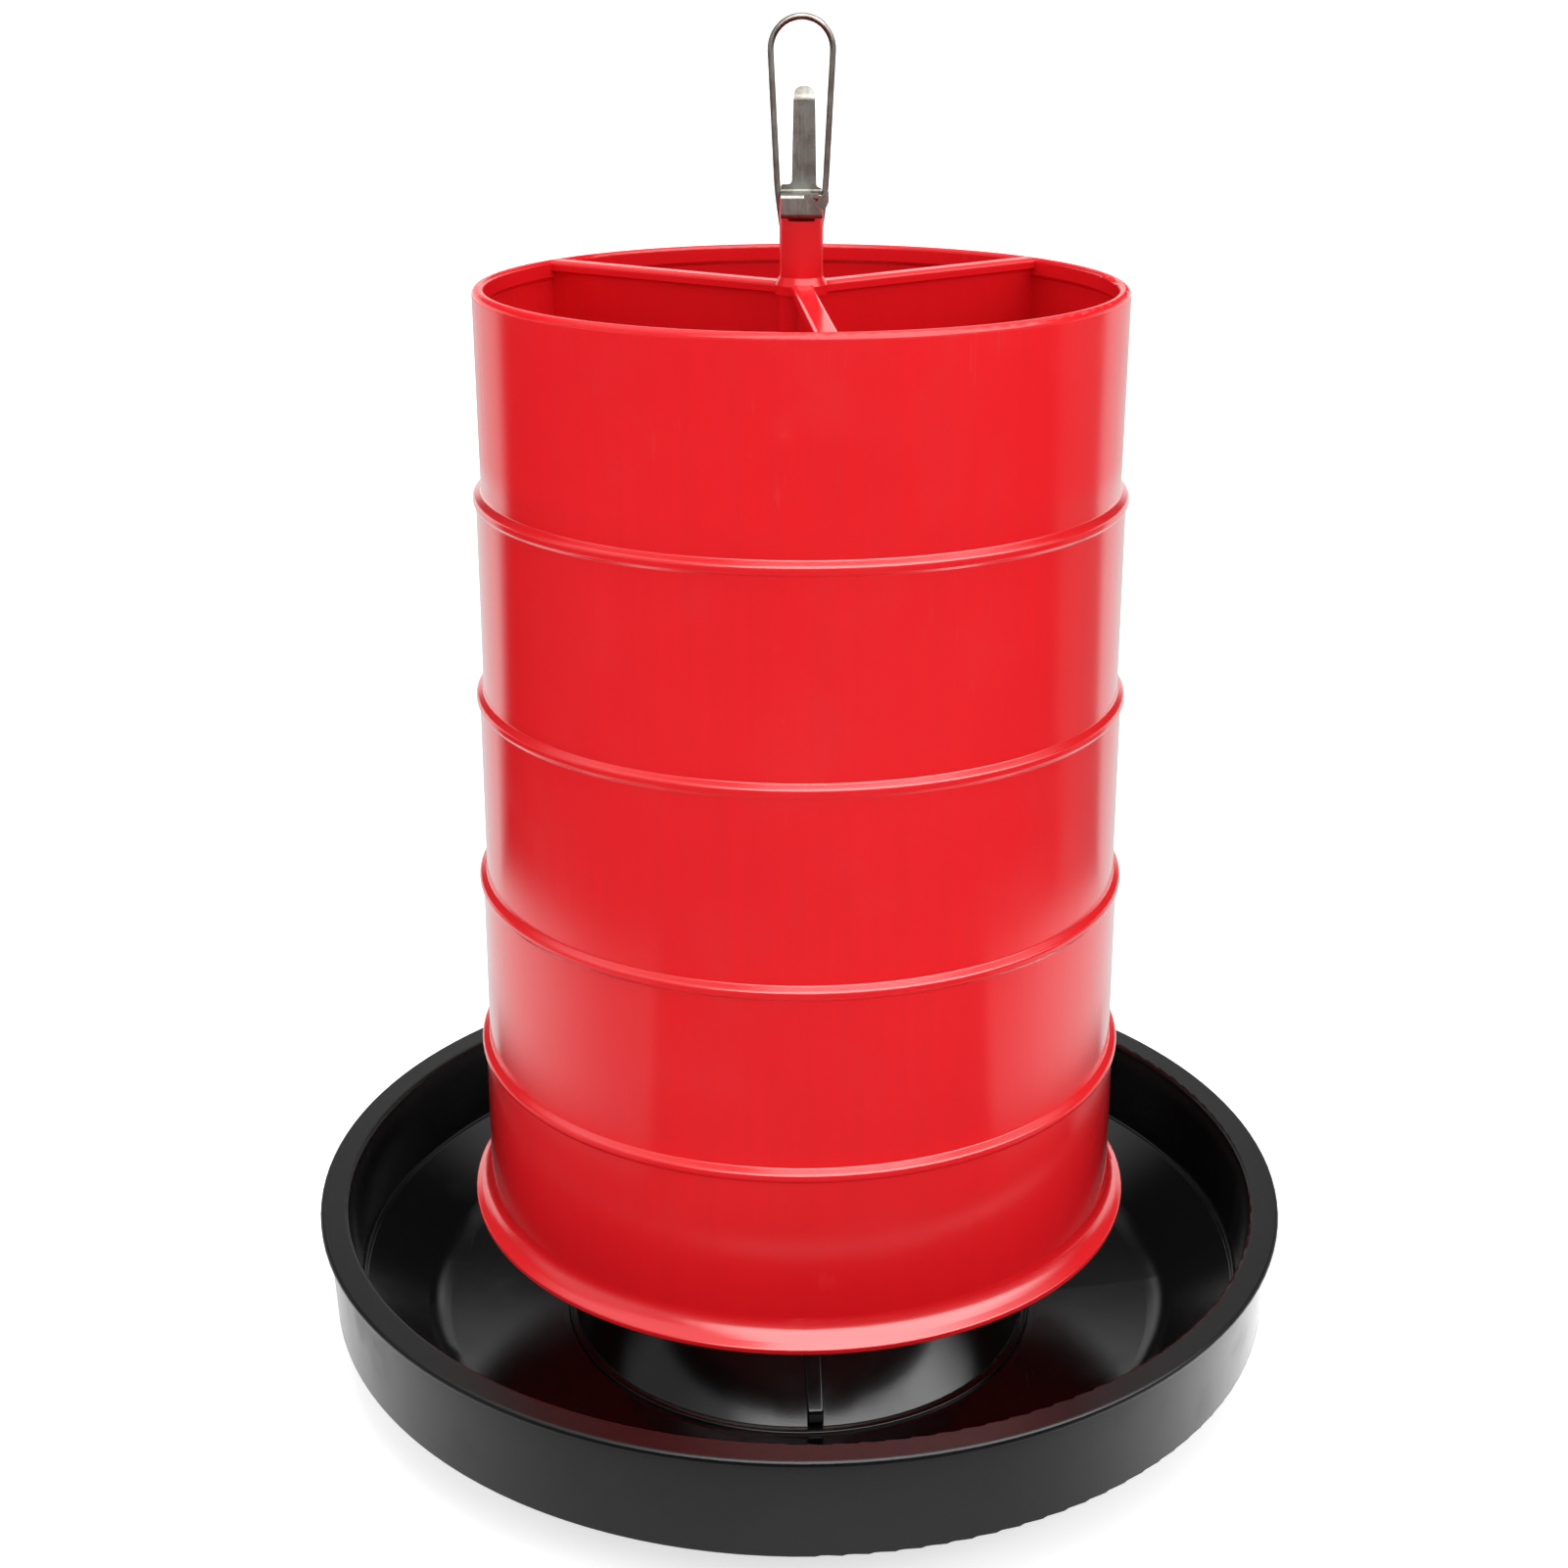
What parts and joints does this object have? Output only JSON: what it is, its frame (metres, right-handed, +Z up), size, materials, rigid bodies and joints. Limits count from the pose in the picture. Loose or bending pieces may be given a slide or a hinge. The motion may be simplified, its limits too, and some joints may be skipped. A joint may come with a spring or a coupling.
{
  "type": "hanging poultry feeder",
  "caption": "Red stepped hopper that feeds a round black pan, hung from a bent wire loop with a locking plate that sets the feed gap.",
  "frame": {"origin": "centre of the pan's foot ring, on the surface that the feeder stands on", "axes": "+Z up along the hopper; -Y is the front, where the locking plate's flap is; +X to the right"},
  "size_m": [0.38, 0.38, 0.5046],
  "materials": {
    "red_plastic": "glossy moulded red",
    "black_plastic": "satin moulded black",
    "steel_wire": "drawn bare steel",
    "steel_sheet": "stamped bare steel"
  },
  "bodies": {
    "pan_and_wire": {"feed_pan": "black_plastic", "hanger_wire": "steel_wire", "retaining_washer": "steel_sheet"},
    "hopper_body": {"hopper": "red_plastic"},
    "lock": {"locking_plate": "steel_sheet"}
  },
  "joints": [
    {"name": "hopper_height", "type": "slide", "parent": "pan_and_wire", "child": "hopper_body", "axis": [0, 0, 1], "range_m": [-0.045, 0]},
    {"name": "plate_tilt", "type": "hinge", "parent": "hopper_body", "child": "lock", "pos_m": [0, -0.0071, 0.4386], "axis": [1, 0, 0], "range_deg": [0, 4.5]}
  ]
}
